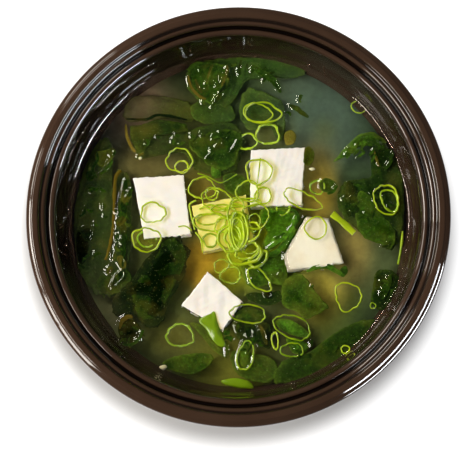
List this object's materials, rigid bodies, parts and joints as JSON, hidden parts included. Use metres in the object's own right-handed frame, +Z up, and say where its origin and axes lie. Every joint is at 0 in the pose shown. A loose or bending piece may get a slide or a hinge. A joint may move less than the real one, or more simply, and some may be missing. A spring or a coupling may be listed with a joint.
{
  "type": "miso soup",
  "caption": "Round dark plastic soup bowl with a ridged rim, filled with miso soup, tofu cubes, wakame leaves and a heap of sliced spring onion rings.",
  "frame": {"origin": "middle of the bowl's foot, on the surface it stands on", "axes": "+Z up through the middle of the bowl; -Y is towards the viewer"},
  "size_m": [0.12, 0.12, 0.062],
  "materials": {
    "bowl_plastic": "glossy dark brown moulded plastic",
    "broth": "wet, cloudy olive-brown broth",
    "tofu": "cream-white cut bean curd, moist",
    "wakame": "dark green wet seaweed leaf",
    "wakame_stalk": "golden brown wet seaweed stalk",
    "spring_onion": "yellow-green wet sliced spring onion"
  },
  "bodies": {
    "root": {"bowl": "bowl_plastic", "soup": "broth", "tofu_1": "tofu", "tofu_2": "tofu", "tofu_3": "tofu", "tofu_4": "tofu", "tofu_5": "tofu", "wakame_1": "wakame", "wakame_2": "wakame", "wakame_3": "wakame", "wakame_4": "wakame", "wakame_5": "wakame", "wakame_6": "wakame", "wakame_7": "wakame", "wakame_8": "wakame", "wakame_9": "wakame", "wakame_10": "wakame", "wakame_11": "wakame", "wakame_12": "wakame", "wakame_13": "wakame", "wakame_14": "wakame", "wakame_15": "wakame", "wakame_16": "wakame", "wakame_17": "wakame", "wakame_18": "wakame", "wakame_19": "wakame", "wakame_stalk": "wakame_stalk", "onion_ring_1": "spring_onion", "onion_ring_2": "spring_onion", "onion_ring_3": "spring_onion", "onion_ring_4": "spring_onion", "onion_ring_5": "spring_onion", "onion_ring_6": "spring_onion", "onion_ring_7": "spring_onion", "onion_ring_8": "spring_onion", "onion_ring_9": "spring_onion", "onion_ring_10": "spring_onion", "onion_ring_11": "spring_onion", "onion_ring_12": "spring_onion", "onion_ring_13": "spring_onion", "onion_ring_14": "spring_onion", "onion_ring_15": "spring_onion", "onion_strip_1": "spring_onion", "onion_strip_2": "spring_onion", "onion_strip_3": "spring_onion", "onion_chunk": "spring_onion", "onion_heap": "spring_onion"}
  },
  "joints": []
}
